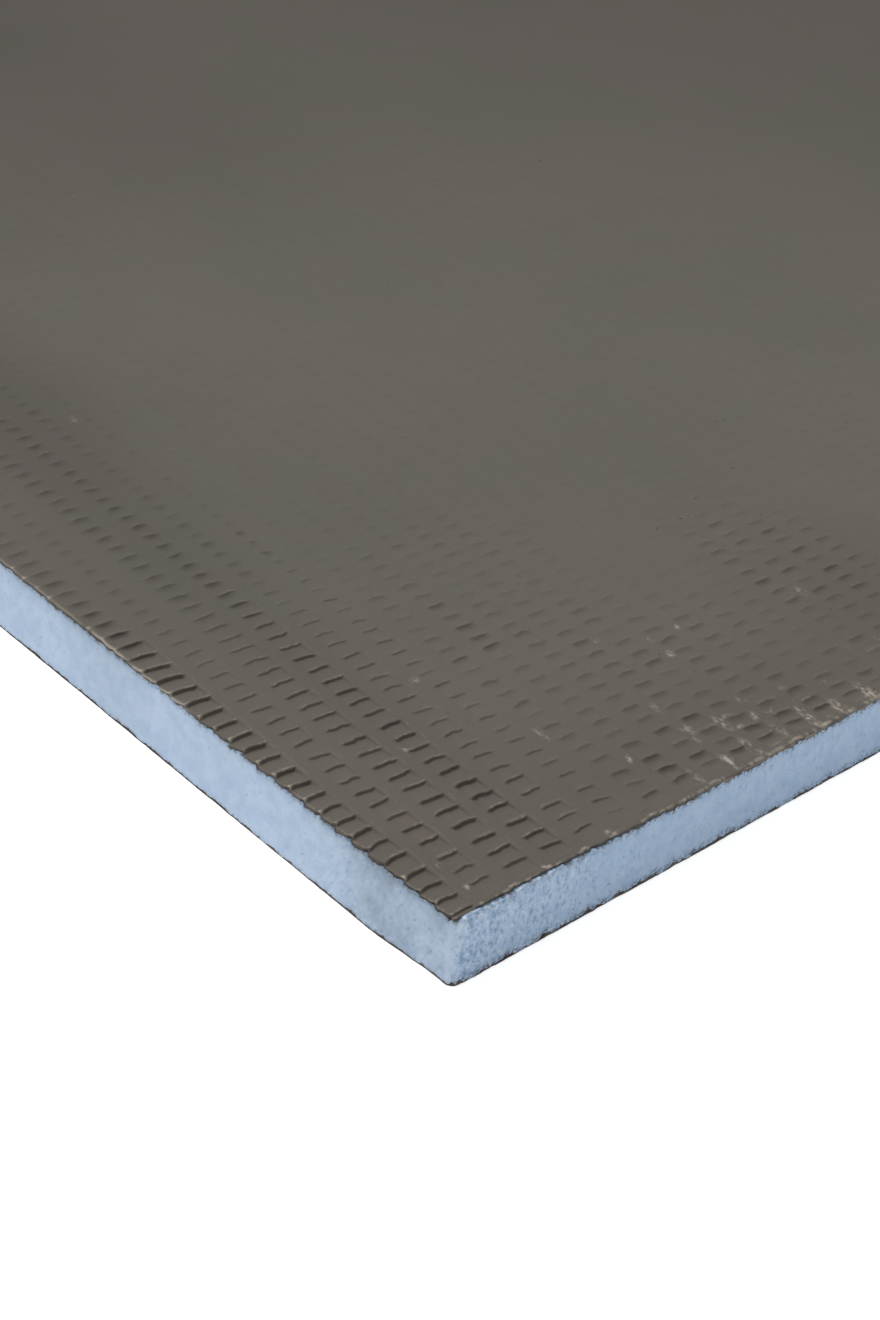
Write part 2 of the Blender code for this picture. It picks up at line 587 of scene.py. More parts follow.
def mesh_piece(name, place, quads, triangles, material, slot, node, **values):
    """The object, with one value of each attribute at each point, riding the body it stands for."""
    mesh = bpy.data.meshes.new(name)
    mesh.from_pydata(place.tolist(), [], quads.tolist() + triangles.tolist())
    for key, value in values.items():
        layer = mesh.attributes.new(key, "FLOAT", "POINT")
        layer.data.foreach_set("value", np.asarray(value, dtype=np.float32).ravel())
    mesh.shade_smooth()
    mesh.set_sharp_from_angle(angle=math.radians(80))
    mesh.materials.append(material)
    piece = bpy.data.objects.new(name, mesh)
    bpy.context.scene.collection.objects.link(piece)
    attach(piece, BODY)
    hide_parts(node)
    print(f"{name}: {len(quads) * 2 + len(triangles)} triangles")


# %% [markdown]
# ## Cement with glass mesh in it
#
# The coat is cement with a polymer binder, trowelled on and dried. To the eye that is a matt grey-brown,
# in patches a little warmer or cooler, with a fine grit. Painted shade darkens its pockets and cut rim,
# the crests of the ribs are worn paler with a painted highlight, and cream glass yarn shows where the
# skin broke. The pieces carry those as attributes. Past the modelled zone the shader repeats the pocket
# grid as bump, in the same step.

# %% Cement material
CEMENT_WARM = "#655e58"
CEMENT_COOL = "#636059"
# Dark cement: for random dark clouds and foam stains, and for painted shade
CEMENT_DIRT_AND_SHADE = "#2b241e"
# Pale cement for worn crests, also carrying a painted highlight there
CEMENT_WORN_AND_HIGHLIT = "#a09788"
YARN = "#b9b1a2"
# Sizes of the patterns in mm. Real grit is about 0.1 and a yarn's threads are finer still, and both are
# drawn as coarse as they need to be to show.
PATCH_SIZE = 9.0
CLOUD_SIZE = 55.0
CLOUD_SHADE = 0.07
GRAIN_SIZE = 0.4
THREAD_SIZE = 0.5
CLUMP_SIZE = 1.5
THREAD_COMB = (0.6, 1.0, 1.0)


def pocket_wave(tree, coordinate, start, pitch, share, drop, wall):
    """Pockets as nodes: the fraction of (coordinate - start) / pitch, 1 on the floor and 0 on the yarn."""
    cells = add(tree, "Math", coordinate, 1 / pitch, -start / pitch, operation="MULTIPLY_ADD")
    part = add(tree, "Math", cells, operation="FRACT")
    sink = add(tree, "MapRange", part, 0.0, drop, interpolation_type="SMOOTHSTEP")
    rise = add(tree, "MapRange", part, share - wall, share, 1.0, 0.0, interpolation_type="SMOOTHSTEP")
    return overlap(tree, sink, rise)


def cement_bump(tree, place, left):
    """The normal of the pockets that aren't modelled, as deep as left says, with grit 0.02 mm high."""
    x, y = [add(tree, "SeparateXYZ", place, out=axis) for axis in "XY"]
    columns_start = cad_low.y + FIRST_COLUMN * MM
    rows_start = cad_high.x - (FIRST_ROW + RIB_CREST * WEFT_PITCH) * MM
    by_column = pocket_wave(tree, y, columns_start, WARP_PITCH * MM, BAND_FROM, 0.16, WALL_ACROSS)
    by_row = pocket_wave(tree, x, rows_start, -WEFT_PITCH * MM, 0.99, 0.9, WALL_ALONG)
    sunk = overlap(tree, by_column, by_row, left, -1.0)
    grit = add(tree, "TexNoise", place, 1 / (GRAIN_SIZE * MM), 3.0, 0.7)
    height = add(tree, "Math", grit, 0.02, sunk, operation="MULTIPLY_ADD")
    return add(tree, "Bump", 1.0, MM, None, height)


def cement_material():
    """Two greys in clouds, then grain, painted shade, wear with a painted highlight, and yarn, each laid on
    through its own masks.
    """
    material, tree = blank("trowelled_polymer_cement")
    place = add(tree, "TexCoord", out="Object")
    shade, bare, left, worn, frayed = [add(tree, "Attribute", out="Fac", attribute_name=name)
                                       for name in ("shade", "bare", "left", "worn", "frayed")]
    patches = blotches(tree, place, PATCH_SIZE, 3.0, 0.6, 0.35, 0.65)
    clouds = blotches(tree, place, CLOUD_SIZE, 3.0, 0.55, 0.35, 0.65)
    coolness = add(tree, "Mix", 0.6, patches, clouds)
    grain = blotches(tree, place, GRAIN_SIZE, 3.0, 0.7, 0.3, 0.7, 0.96, 1.04)
    crumbs = blotches(tree, place, GRAIN_SIZE, 2.0, 0.6, 0.4, 0.62, 0.2, 1.0)
    combed = add(tree, "VectorMath", place, THREAD_COMB, operation="MULTIPLY")
    threads = blotches(tree, combed, THREAD_SIZE, 2.0, 0.5, 0.38, 0.6)
    clumps = blotches(tree, place, CLUMP_SIZE, 2.0, 0.5, 0.34, 0.5)
    yarn = add(tree, "Math", overlap(tree, threads, clumps, frayed), bare, operation="MAXIMUM")
    colour = paint(tree, linear(CEMENT_WARM), (CEMENT_COOL, coolness), (CEMENT_DIRT_AND_SHADE, clouds, CLOUD_SHADE))
    grey = add(tree, "CombineColor", grain, grain, grain)
    colour = add(tree, "Mix", 1.0, colour, grey, data_type="RGBA", blend_type="MULTIPLY")
    # Painted shade through the shade attribute, pale wear with a painted highlight, then bare yarn
    colour = paint(tree, colour, (CEMENT_DIRT_AND_SHADE, shade), (CEMENT_WORN_AND_HIGHLIT, worn, crumbs), (YARN, yarn))
    surface(tree, colour, Normal=cement_bump(tree, place, left), Roughness=0.82, Specular_IOR_Level=0.2)
    return material


cement = cement_material()
print("cement nodes:", len(cement.node_tree.nodes))

# %% [markdown]
# ## Where yarn shows
#
# Bare yarn follows the mesh: cut ends on the rim, frayed streaks on the warp bands by the short end, and
# one yarn that surfaces along the long edge where the cut drifted onto it. Its fibres are finer than the
# camera can part, so they aren't modelled one by one: two masks at the points say where the material
# paints bare yarn and where it draws loose threads.

# %% Yarn
# Frayed spots, as ovals like the thin patches
FRAYS = [
    (40.4, 2.2, 0.45, 2.2, 0.4), (45.8, 1.7, 0.6, 2.4, 0.9), (45.6, 7.1, 0.45, 0.9, 0.5),
    (46.4, 9.2, 0.9, 1.4, 0.4), (50.2, 2.4, 0.75, 2.2, 0.75), (50.8, 7.6, 0.6, 2.1, 0.5),
    (52.2, 8.4, 1.4, 0.4, 0.45), (52.4, 6.0, 0.8, 0.4, 0.7), (55.6, 2.4, 0.7, 2.6, 0.35),
    (55.3, 6.5, 0.55, 0.9, 0.75), (56.4, 9.3, 0.6, 1.2, 0.75), (57.7, 6.1, 1.3, 0.4, 0.6),
    (60.7, 2.2, 0.8, 3.1, 0.95), (62.4, 5.9, 0.9, 0.4, 0.6), (62.8, 8.4, 0.7, 0.4, 0.35),
    (65.6, 1.6, 0.9, 2.4, 0.55), (68.2, 6.2, 0.9, 0.45, 0.3), (71.1, 1.6, 0.9, 2.6, 0.7),
    (4.8, 3.5, 0.5, 0.5, 0.7), (4.8, 8.0, 0.5, 0.4, 0.55), (14.0, 0.6, 0.6, 0.5, 0.7),
    (24.0, 1.0, 0.6, 0.6, 0.7), (36.1, 9.2, 0.45, 0.8, 0.75), (31.0, 18.5, 0.5, 1.6, 0.5),
    (15.5, 25.5, 0.5, 1.4, 0.45), (26.0, 35.0, 0.5, 0.7, 0.6), (46.4, 14.5, 0.5, 1.2, 0.35),
    (56.6, 21.3, 0.45, 0.9, 0.8), (56.7, 24.8, 0.5, 0.7, 0.9), (61.7, 24.9, 0.5, 0.5, 0.6),
    (50.6, 28.4, 0.5, 0.6, 0.45), (81.7, 21.5, 0.6, 1.4, 0.35), (28.3, 107.4, 0.6, 1.0, 0.35),
    (24.4, 92.8, 0.6, 0.8, 0.35),
]


def bare_yarn(row, column, across, along):
    """0 to 1: cut yarn ends along both rims, and the one yarn that surfaces along the long edge."""
    crest, part = from_crest(row), column % 1
    band = ease(part, BAND_FROM + 0.05, BAND_FROM + 0.12) * fade(part, 0.9, 0.98)
    picked = ease(wander(0, along, 1.9, 65), -0.7, 0.3)
    cut_ends = fade(crest, 0.14, 0.32) * fade(across, 0.25, 0.6) * picked
    warp_ends = band * fade(along, 0.3, 0.8) * ease(rough(across, along, 0.6, 66), -0.25, 0.25)
    fringe = ease(across, 34, 48)
    broken = rough(across, 0, 0.8 - 0.25 * fringe, 68) + 0.25 * fringe
    rim_thread = fade(along, 0.12, 0.36 + 0.4 * fringe) * ease(broken, 0.1, 0.45)
    surfaced = fade(across, 0.05, 0.2) * ease(along, 44, 48) * (1 - 0.55 * ease(along, 62, 68))
    surfaced = surfaced * ease(rough(0, along, 2.4, 67), -0.8, 0.0)
    parts = [0.5 * cut_ends, 0.6 * warp_ends, 0.34 * rim_thread, 0.62 * surfaced]
    return np.clip(np.maximum.reduce(parts), 0, 1)


def frayed_yarn(column, across, along):
    """0 to 1: where the shader draws loose threads: ovals placed by eye, and bands beyond the view."""
    part = column % 1
    middle = 0.79 + 0.05 * wander(np.floor(column) * 7, along, 1.7, 62)
    band = fade(np.abs(part - middle), 0.03, 0.11) * ease(across, 73, 76)
    wavy = across + 0.3 * wander(across, along, 1.4, 63)
    placed = 0.85 * np.maximum.reduce(spots(wavy, along, FRAYS, 0.2, 1.2))
    return np.clip(np.maximum(0.9 * torn_zone(across, along) * band, placed), 0, 1)


print(f"{len(FRAYS)} frayed spots")

# %% [markdown]
# ## Wear, painted highlight and painted shade in the pockets
#
# Hands and stacking wear the crests pale, and a painted highlight adds to that. Painted shade darkens the
# crease of each far wall and a soft heap before it, which lets the pockets read where their shadows are
# thin.


# %% Wear, painted highlight and painted shade
def worn_and_highlit_crest(row, column, across, along):
    """0 to 1: pale cement on the crests of the ribs and beside the side walls, partly wear and partly
    painted highlight.
    """
    crest, part = from_crest(row - 0.02), column % 1
    torn = torn_zone(across, along)
    ridge = fade(crest, 0.08, 0.22 + 0.2 * torn) * warp_share(column - 0.03)
    verge = ease(part, BAND_FROM, BAND_FROM + 0.02) * fade(part, BAND_FROM + 0.04, BAND_FROM + 0.1)
    verge = verge * (1 - roundness(along))
    picked = ease(rough(across, along, 1.6, 69), -0.3, 0.4)
    amount = 0.36 * strength(column, across, along) * (1 - 0.6 * softness(across, along)) + 0.3 * torn
    lip = 0.4 * fade(across, 0.1, 0.5) * fade(along, 22, 36) * picked
    return np.clip((ridge + 0.5 * verge) * picked * amount + lip, 0, 1) * modelled(across, along)


def crevice(row, column, across, along):
    """0 to 1: painted shade in the steep far wall of a pocket and, in some pockets, along its side wall."""
    part, rounded = (row - RIB_CREST) % 1, roundness(along)
    wall = ease(part, 0.83, 0.89) * fade(part, 0.93, 1.0) * warp_share(column, rounded)
    low, high = BAND_FROM - WALL_ACROSS, BAND_FROM
    side = ease(column % 1, low - 0.01, low + 0.015) * fade(column % 1, high - 0.02, high + 0.005)
    wall = wall * (1 + 0.5 * rough(across, along, 0.8, 36))
    wall = wall * (1 - 0.4 * softness(across, along) - 0.2 * rounded)
    picked = ease(wander(np.floor(column) * 4.3, np.floor(row - RIB_CREST) * 6.1, 1.0, 35), -0.7, 0.5)
    picked = picked * (1 - 0.5 * ease(column, 3.7, 5)) * (1 - rounded)
    return np.maximum(wall, side * picked * weft_floor(row))


def hollow_shade(row, column, across, along):
    """0 to 1: painted shade that lies in a pocket and thickens towards its far wall, more of it far along.
    """
    part, rounded = (row - RIB_CREST) % 1, roundness(along)
    inside = np.clip(column % 1 / BAND_FROM, 0, 1)
    pile = ease(part, 0.4, 0.92) * fade(part, 0.94, 1.0) * ease(inside, 0.0, 0.35 + 0.08 * rounded)
    pile = pile * fade(inside, 0.7 - 0.22 * rounded, 1 - 0.06 * rounded)
    return pile * (0.05 + 0.42 * softness(across, along) + 0.42 * rounded + 0.1 * torn_zone(across, along))


# %% [markdown]
# ## A slow change of painted shade
#
# Over many pockets the coat is a little darker by its edges and further inside, as painted shade where
# the light falls off, and in a few darker patches. This keeps so large a grey face from looking printed.


# %% Broad painted shade
DARK_PATCHES = [(24, 112, 40, 40, 0.07), (90, 21, 24, 24, 0.12)]


def broad_painted_shade(across, along):
    """Painted shade where the light falls off: darker by the edges, in a band along the long one and
    further inside, plus a few darker patches.
    """
    inwards = across + along
    inner = 0.4 * ease(inwards, 170, 460) * (1 - 0.6 * ease(inwards, 500, 900))
    by_end = 0.12 * fade(along, 3, 26) * (0.5 + 0.5 * ease(along, 2, 8))
    spread = np.clip(along - 60, 0, 60)
    by_side = (0.3 + 0.7 * ease(across, 8, 18)) * fade(across, 15 + 0.12 * spread, 30 + 0.22 * spread)
    by_side = by_side * (0.13 + 0.06 * ease(along, 70, 110))
    beyond = 0.16 * ease(along, 125, 185) * fade(across, 90, 150) * fade(along, 300, 500)
    dark_patches = sum(spots(across, along, DARK_PATCHES, 0, 1))
    return 0.03 + np.maximum.reduce([inner, by_end, by_side]) + beyond + dark_patches


print(f"shade added inside the board: {broad_painted_shade(200.0, 200.0):.2f}")

# %% [markdown]
# ## The top coat, in bands
#
# The surface has more faces than one piece should, so it is made in bands along the board. Neighbours
# meet on the flat crest of a rib and share that line's points, and below it they lap, so no crack shows.

# %% Top of the coat
# The rim's rings: out and down over the rounded edge in mm, then down the wall in shares of its height
RIM_STEPS = [(0.05, 0.02), (0.08, 0.08)]
CLIFF_STEPS = [0.35, 0.7, 1.0]
SEAM_LAP = 0.12
UNDER_RIM = 0.6
# How much painted shade the pockets' walls give, on the top and carried down the rim
FOLD_SHADE = 0.42
WALL_SHADE = 0.6


def outward(across, along):
    """Unit vector out of the board for a point on its edge, turning with the round corner."""
    out = np.stack([across - np.clip(across, CORNER_RADIUS, WIDTH - CORNER_RADIUS),
                    along - np.clip(along, CORNER_RADIUS, LENGTH - CORNER_RADIUS)])
    return out / np.maximum(np.hypot(*out), 1e-9)


def band_top(row, column):
    """A band's top grid: its plan before and after it is trimmed, its height, folds and attributes."""
    across, along = coat_plan(row, column)
    across[:, 0], across[:, -1] = 0.0, WIDTH
    along[row == row_lines[0]] = 0.0
    along[row == row_lines[-1]] = LENGTH
    flat = across, along
    cell = row, column, *flat
    share, near = strength(column, *flat), modelled(*flat)
    sunk = np.clip(share * cell_depth(row, column, across), 0, 1) * near
    folds = crevice(*cell)
    # Painted shade in the pockets' walls and hollows, then the broad painted shade over all
    shade = (FOLD_SHADE * folds + hollow_shade(*cell)) * sunk
    values = {"shade": shade + (1 - shade) * broad_painted_shade(*flat), "bare": bare_yarn(*cell),
              "left": POCKET_DEPTH * share * (1 - near), "worn": worn_and_highlit_crest(*cell),
              "frayed": frayed_yarn(column, *flat)}
    return flat, round_corner(*edge_inset(*flat), CORNER_RADIUS), coat_height(*cell), folds, values


# %% [markdown]
# ## Down the rim
#
# From the top grid's border, rings go down over the rounded edge and the torn wall to the foam, each with
# its own painted shade and yarn ends, and the last one turns in under the coat.


# %% Rim of the top coat
def coat_band(name, band_rows):
    """One band of the top coat: its top grid, its rim carried down to the foam and a closing fan."""
    row, column = np.meshgrid(band_rows, column_lines, indexing="ij")
    flat, plan, height, folds, values = band_top(row, column)
    number = np.arange(row.size).reshape(row.shape)
    loop = border(number)
    edge_a, edge_b, rim_a, rim_b, rim_top, ends, walls = [
        part.ravel()[loop] for part in (*flat, *plan, height, values["bare"], WALL_SHADE * folds)
    ]
    on_edge = (edge_a == 0) | (edge_a == WIDTH) | (edge_b == 0) | (edge_b == LENGTH)
    out_a, out_b = outward(edge_a, edge_b) * on_edge
    run = edge_a - edge_b
    foot = np.minimum(core_top(run), rim_top - 0.12)
    nearest, farthest = row.ravel()[loop] == band_rows[0], row.ravel()[loop] == band_rows[-1]
    seam = np.where(on_edge, 0.0, 1.0 * farthest - nearest)
    rings = [loop]
    layers = [(points(*plan, height).reshape(-1, 3), values["shade"].ravel(), values["bare"].ravel())]

    def ring(out, up, shadow, pale, lap=0.0):
        """Add the rim again, moved outwards by out and to the height up, with its own painted shade and
        yarn.
        """
        rings.append(np.arange(loop.size) + row.size + (len(rings) - 1) * loop.size)
        place = points(rim_a + out * out_a, rim_b + out * out_b + lap * seam, up)
        layers.append((place, shadow * on_edge, pale * on_edge))

    # Painted shade on the cut rim: from cut_shade and the pockets' walls, light on the rounded edge, deeper
    # down the cliff and just by the corner
    dark = np.maximum(cut_shade(run), walls)
    corner_shade = ease(-run, 0, 1) * fade(-run, 6, 10)
    for out, drop in RIM_STEPS:
        ring(out, np.maximum(rim_top - drop, foot + 0.05), np.maximum(dark * (0.2 + 4 * drop), walls), ends)
    for part in CLIFF_STEPS:
        fold = 0.035 * wander(run, part * 5, 0.4, 71) - 0.03 * part
        thread = ease(rough(run, part, 1.2, 72), -0.4, 0.5)
        pale = ends * (1 - part) * 0.3 + 0.36 * ease(run, 34, 48) * thread
        ring(RIM_ROUND + fold, (rim_top - RIM_ROUND) * (1 - part) + foot * part,
             np.minimum(dark * (0.55 + 0.2 * corner_shade + 0.5 * part), 1.0), pale, SEAM_LAP)
    ring(-UNDER_RIM, COAT_BASE, dark, 0.0, SEAM_LAP)
    centre = points(WIDTH / 2, (edge_b.min() + edge_b.max()) / 2, COAT_BASE)[None]
    layers.append((centre, [0.0], [0.0]))
    quads = np.concatenate([grid_faces(number)] + [ring_faces(*pair) for pair in zip(rings, rings[1:])])
    place, values["shade"], values["bare"] = [np.concatenate(parts) for parts in zip(*layers)]
    others = np.zeros(len(place) - row.size)
    for key in ("left", "worn", "frayed"):
        values[key] = np.append(values[key].ravel(), others)
    mesh_piece(name, place, quads, fan_faces(rings[-1], len(place) - 1), cement, "cement_coat",
               "top_coating", **values)


BAND_CUTS = [12, 24, 38, 56, MEDIUM_ROWS]
cuts = [0] + [int(np.argmin(abs(row_lines - (cut - 0.1)))) for cut in BAND_CUTS] + [len(row_lines) - 1]
for n, (low, high) in enumerate(zip(cuts, cuts[1:]), 1):
    coat_band(f"top_coat_band_{n}", row_lines[low:high + 1])

# %% [markdown]
# ## Once round the board
#
# The foam and the back coat show only their cut sides, so a grid over their faces would be wasted. They
# are made another way: a path once round the board, with close points near the corner in view, and a
# profile carried along it.


# %% Path round the board
FINE_SIDE, FINE_END = 125.0, 90.0
FINE_STEP, COARSE_STEP = 0.25, 4.0
ARC_STEPS = 8


def side_steps(length, fine):
    """Distances along one straight side: fine steps first, then coarse ones, and its end."""
    close, wide = np.arange(0, fine, FINE_STEP), np.arange(fine, length - 1, COARSE_STEP)
    return np.concatenate([close, wide, [length]])


def outline(radius):
    """Once round the board: four sides and four arcs, each point at radius from its centre. a is across."""
    turn = np.linspace(0, math.pi / 2, ARC_STEPS, endpoint=False)[1:]
    end = side_steps(WIDTH - 2 * radius, FINE_END)
    side = side_steps(LENGTH - 2 * radius, 0.0)
    near = side_steps(LENGTH - 2 * radius, FINE_SIDE)[::-1]
    far = side_steps(WIDTH - 2 * radius, 0.0)
    high_a, high_b, quarter = WIDTH - radius, LENGTH - radius, math.pi / 2
    pieces = [
        (radius + end, radius, math.pi), (high_a, radius, math.pi - turn),
        (high_a, radius + side, quarter), (high_a, high_b, quarter - turn),
        (high_a - far, high_b, 0.0), (radius, high_b, -turn),
        (radius, radius + near, -quarter), (radius, radius, -quarter - turn),
    ]
    centre_a, centre_b, heading = np.concatenate([np.broadcast_arrays(*piece) for piece in pieces], axis=1)
    out_a, out_b = np.sin(heading), np.cos(heading)
    return centre_a + radius * out_a, centre_b + radius * out_b, out_a, out_b


print(f"{outline(CORNER_RADIUS)[0].size} points round the board")

# %% [markdown]
# ## The foam core
#
# Extruded polystyrene is a closed foam with very fine cells. The short end was sawn, which tears cells
# and leaves small pits; the long edge was planed and is smooth. The upright corner in view is rubbed
# round, and more so near the floor. The larger pits are real shape from noise, as they break the edge of
# the foam against the coats, and the finer ones are left to the material.

# %% Foam shape
# Lengths in mm. The ledge hides the foam's edge under the coat, and INNER_FACE is a hidden joint's height.
CORE_RADIUS = 1.2
CORE_INSET = 0.06
CORE_LEDGE = 0.15
LEDGE_TOP = THICKNESS - 0.38
CORE_STEP = 0.26
SAW_DEPTH = 0.11
INNER_FACE = 0.4


def lean(across, along, height):
    """How far the worn lower corner has drawn back, in mm: most at the floor, nothing 13 mm along."""
    return 0.75 * fade(along, 2, 13) * fade(across, 1, 5) * (1 - height / THICKNESS)


def core_foot(across, along):
    """Height where the foam meets the back coat: ragged on the sawn end, thin on the long edge."""
    run = across - along
    on_end = 1 - ease(along, 0.3, 1.5)
    thick = 0.38 - 0.1 * ease(run, 14, 22)
    end = np.maximum(thick + 0.4 * rough(run, 0, 1.5, 81) + 0.48 * rough(run, 0, 0.5, 82), 0.12)
    side = np.maximum(0.3 + 0.1 * wander(run, 0, 1.6, 83) + 0.22 * rough(run, 0, 0.5, 84), 0.1)
    return end * on_end + side * (1 - on_end)


def sawn(out_b):
    """1 on the two short ends, which are sawn, and 0 on the planed long edges."""
    return ease(np.abs(out_b), 0.5, 0.95)


def torn_cells(across, along, height, saw):
    """0 to 1: how many cells are torn open. Most by the near corner and high on the sawn end."""
    end = 0.3 + 0.7 * fade(across, 12, 32) * (0.75 + 0.25 * height / THICKNESS)
    end = end + 0.2 * fade(across, 4, 9)
    side = 0.12 + 0.34 * fade(along, 12, 32)
    return end * saw + side * (1 - saw)


def foam_relief(run, height, saw):
    """How far the foam's face is torn in from its plane: pits of thresholded noise and a low swell."""
    pits = ease(rough(run, height, 0.9, 91), 0.12, 0.55)
    tears = rough(run, height, 0.55, 94)
    swell = wander(run, height, 6.0, 97)
    return SAW_DEPTH * (0.25 + 0.75 * saw) * (pits + 0.35 * tears) + 0.03 * swell


def soil_and_rim_shade(along, height, gap, saw):
    """0 to 1: greyer foam by the corner as soil, and darker foam just under the coat, fading with gap, the
    depth below it in mm, partly cement soil and partly painted shade.
    """
    patchy = 0.7 + 0.4 * wander(along, height, 2.6, 96) + 0.4 * rough(along, height, 1.0, 98)
    beyond = ease(along, 24, 34) * (1 - 0.8 * ease(along, 50, 60))
    # Under the coat: painted shade with some cement soil, strongest at the coat and fading with gap
    under_rim = (0.85 - 0.25 * beyond) * np.exp(-gap / (0.8 - 0.25 * beyond)) * (1 - saw)
    under_rim = under_rim * (0.5 + 0.5 * patchy)
    under_rim = under_rim + 0.16 * np.exp(-gap) * saw
    marks = 0.22 * fade(np.abs(along - 12), 0, 4) + 0.14 * fade(np.abs(along - 60), 0, 11)
    by_corner = (0.42 * fade(along, 14, 20) * patchy + marks) * ease(along, 0.2, 1.8) * (1 - saw)
    return np.clip(under_rim + by_corner, 0, 0.9)


def seen_closely(across, along):
    """1 where the path has close points, easing to 0 before its coarse ones."""
    return fade(across, FINE_END - 15, FINE_END - 2) * fade(along, FINE_SIDE - 15, FINE_SIDE - 2)


print(f"the worn lower corner draws back {lean(0.0, 0.0, 0.0):.2f} mm")

# %% [markdown]
# ## Foam that looks like foam
#
# Extruded polystyrene is matt, light blue and closed-celled. Its real cells are 0.1 to 0.3 mm wide, too
# fine to part by eye, so it reads as a soft mottle with a few pits, darkened by painted shade, and pale
# torn edges. The saw pulled them into short strokes, which are drawn several cells long so that they show.

# %% Foam material
FOAM = "#b8cae0"
FOAM_DEEP = "#adc1d9"
# The sawn end's blues, a little bluer than the planed ones: painted bluish shade
FOAM_SAWN_SHADED = "#b0c8e3"
FOAM_SAWN_SHADED_DEEP = "#a7c0dd"
# Dark blue for painted shade in the pits, and for the dull dabs
FOAM_PIT_SHADE_AND_DAB = "#5c7899"
# Pale blue for torn edges and dabs, and for a painted highlight on the round corners
FOAM_PALE_AND_HIGHLIGHT = "#d8e6f5"
# Grey for soil by the corner, and for painted shade just under the coat
FOAM_SOIL_AND_SHADE = "#7c8b9c"
# Sizes of the patterns in mm, and the strokes' stretch and lean: 17.5 and 31.6 degrees off upright about
# X and Y, so on both cut faces they rise towards the near corner.
PIT_SIZE = 0.75
STAIN_SIZE = 0.5
MOTTLE_SIZE = 2.2
DAB_SIZE = 1.3
STROKE_LEAN = (17.5, 31.6, 0.0)
STROKE_STRETCH = (0.7, 0.7, 1.7)
PIT_LEVEL, PIT_SPAN = 0.655, 0.11
PITS_WHERE_TORN = -0.125


def foam_material():
    """Two blues, planed and sawn, the sawn one bluer as painted shade, then pits in painted shade, pale
    torn edges, soil and painted shade, leaning dabs, cement stains and a painted highlight.
    """
    material, tree = blank("extruded_polystyrene")
    place = add(tree, "TexCoord", out="Object")
    saw, torn, soil_and_shade, stained, arris_highlight = [add(tree, "Attribute", out="Fac", attribute_name=name)
                                        for name in ("saw", "torn", "soil_and_shade", "stained", "arris_highlight")]
    lean_angles = [math.radians(angle) for angle in STROKE_LEAN]
    strokes = add(tree, "Mapping", place, None, lean_angles, STROKE_STRETCH, vector_type="TEXTURE")
    mottle = blotches(tree, place, MOTTLE_SIZE, 3.0, 0.6, 0.36, 0.64)
    planed = paint(tree, linear(FOAM), (FOAM_DEEP, mottle))
    sawn_shaded = paint(tree, linear(FOAM_SAWN_SHADED), (FOAM_SAWN_SHADED_DEEP, mottle))
    # The sawn faces take their bluer blues, as painted shade
    colour = add(tree, "Mix", saw, planed, sawn_shaded, data_type="RGBA")
    cells = add(tree, "TexNoise", strokes, 1 / (PIT_SIZE * MM), 3.0, 0.62)
    level = add(tree, "Math", torn, PITS_WHERE_TORN, PIT_LEVEL, operation="MULTIPLY_ADD")
    pit_floor = add(tree, "Math", level, PIT_SPAN, operation="ADD")
    # Pits drawn dark: painted shade in the torn cells
    pits = add(tree, "MapRange", cells, level, pit_floor, interpolation_type="SMOOTHSTEP")
    flecks = add(tree, "MapRange", cells, 0.46, 0.35, interpolation_type="SMOOTHSTEP")
    pale_dabs = blotches(tree, strokes, DAB_SIZE, 3.0, 0.6, 0.53, 0.65)
    dull_dabs = blotches(tree, strokes, DAB_SIZE, 3.0, 0.6, 0.42, 0.34)
    smears = blotches(tree, place, STAIN_SIZE, 3.0, 0.7, 0.46, 0.56)
    # Dark blue pits as painted shade, soil with painted shade under the coat, and a painted highlight on
    # the round corners
    colour = paint(
        tree, colour,
        (FOAM_PIT_SHADE_AND_DAB, pits, 0.53), (FOAM_PALE_AND_HIGHLIGHT, flecks, torn, 0.5), (FOAM_SOIL_AND_SHADE, soil_and_shade),
        (FOAM_PALE_AND_HIGHLIGHT, pale_dabs, torn, 0.36), (FOAM_PIT_SHADE_AND_DAB, dull_dabs, torn, 0.4),
        (CEMENT_DIRT_AND_SHADE, smears, stained), (FOAM_PALE_AND_HIGHLIGHT, arris_highlight),
    )
    depth = add(tree, "Math", torn, -0.06, -0.02, operation="MULTIPLY_ADD")
    bump = add(tree, "Bump", 1.0, MM, None, overlap(tree, cells, depth))
    surface(tree, colour, Normal=bump, Roughness=0.6, Specular_IOR_Level=0.3)
    return material


foam = foam_material()
print("foam nodes:", len(foam.node_tree.nodes))

# %% [markdown]
# ## The core, ring by ring
#
# The core is its outline carried down from the coat to the back in rings a quarter of a millimetre
# apart, each moved in by the relief at its height. Cement dirt marks the foam next to both coats, with
# painted shade just under the top coat and a painted highlight on the round corners.


# %% Foam core
def ring_piece(name, rings, top, low, material, slot, node, **values):
    """A closed body from rings, top first. Fans at the heights top and low close it."""
    size = rings[0].shape[0]
    place = np.concatenate(rings + [points(WIDTH / 2, LENGTH / 2, [top, low])])
    number = [np.arange(size) + n * size for n in range(len(rings))]
    quads = np.concatenate([ring_faces(*pair) for pair in zip(number, number[1:])])
    fans = [fan_faces(number[0], len(place) - 2)[:, ::-1], fan_faces(number[-1], len(place) - 1)]
    values = {key: np.append(np.concatenate(value), [0.0, 0.0]) for key, value in values.items()}
    mesh_piece(name, place, quads, np.concatenate(fans), material, slot, node, **values)


def moved_in(path, inset, height, worn=1.0):
    """The path's points moved in by inset at a height, drawn back where the lower corner is worn."""
    across, along, out_a, out_b = path
    pulled = across - out_a * inset + worn * lean(across, along, height)
    return points(pulled, along - out_b * inset, height)


